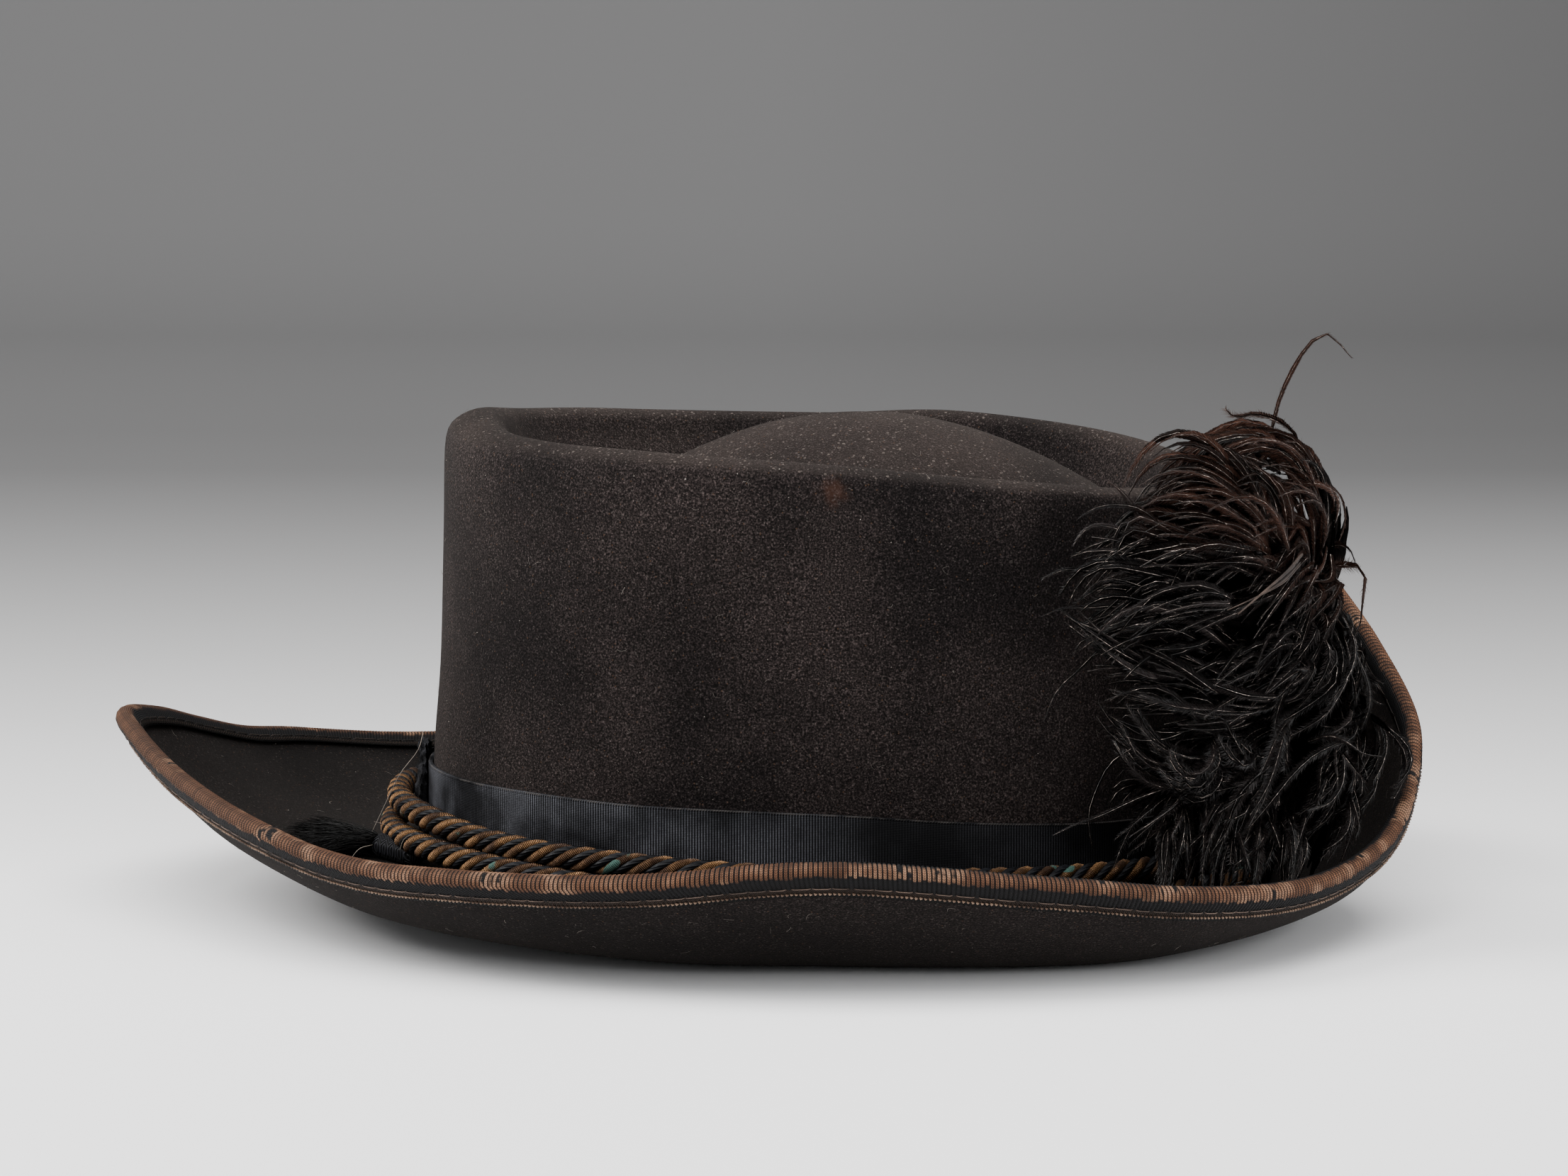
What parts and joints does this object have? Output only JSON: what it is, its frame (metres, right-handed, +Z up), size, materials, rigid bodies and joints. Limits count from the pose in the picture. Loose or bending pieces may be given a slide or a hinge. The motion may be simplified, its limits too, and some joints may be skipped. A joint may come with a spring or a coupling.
{
  "type": "slouch hat",
  "caption": "Dark felt slouch hat with telescoped crown, rolled bound brim, ribbon band, two-strand cord with tassel, and an ostrich plume.",
  "frame": {"origin": "on the table, under the middle of the hat's box", "axes": "+Z up; -X towards the front of the hat; -Y towards the wearer's left side"},
  "size_m": [0.331, 0.3222, 0.1453],
  "materials": {
    "felt": "matt fur felt, dark brown-black",
    "binding": "ribbed ribbon, faded to copper brown",
    "band": "ribbed ribbon, blue-black",
    "bow": "woven silk ribbon",
    "cord": "gold thread and black silk plies",
    "silk": "black silk",
    "plume": "ostrich barbs, soft sheen"
  },
  "bodies": {
    "root": {"felt_body": "felt", "brim_binding": "binding", "hat_band": "band", "band_bow": "bow", "cord_upper": "cord", "cord_lower": "cord", "tassel_head": "silk", "tassel_fringe": "silk", "plume": "plume"}
  },
  "joints": []
}
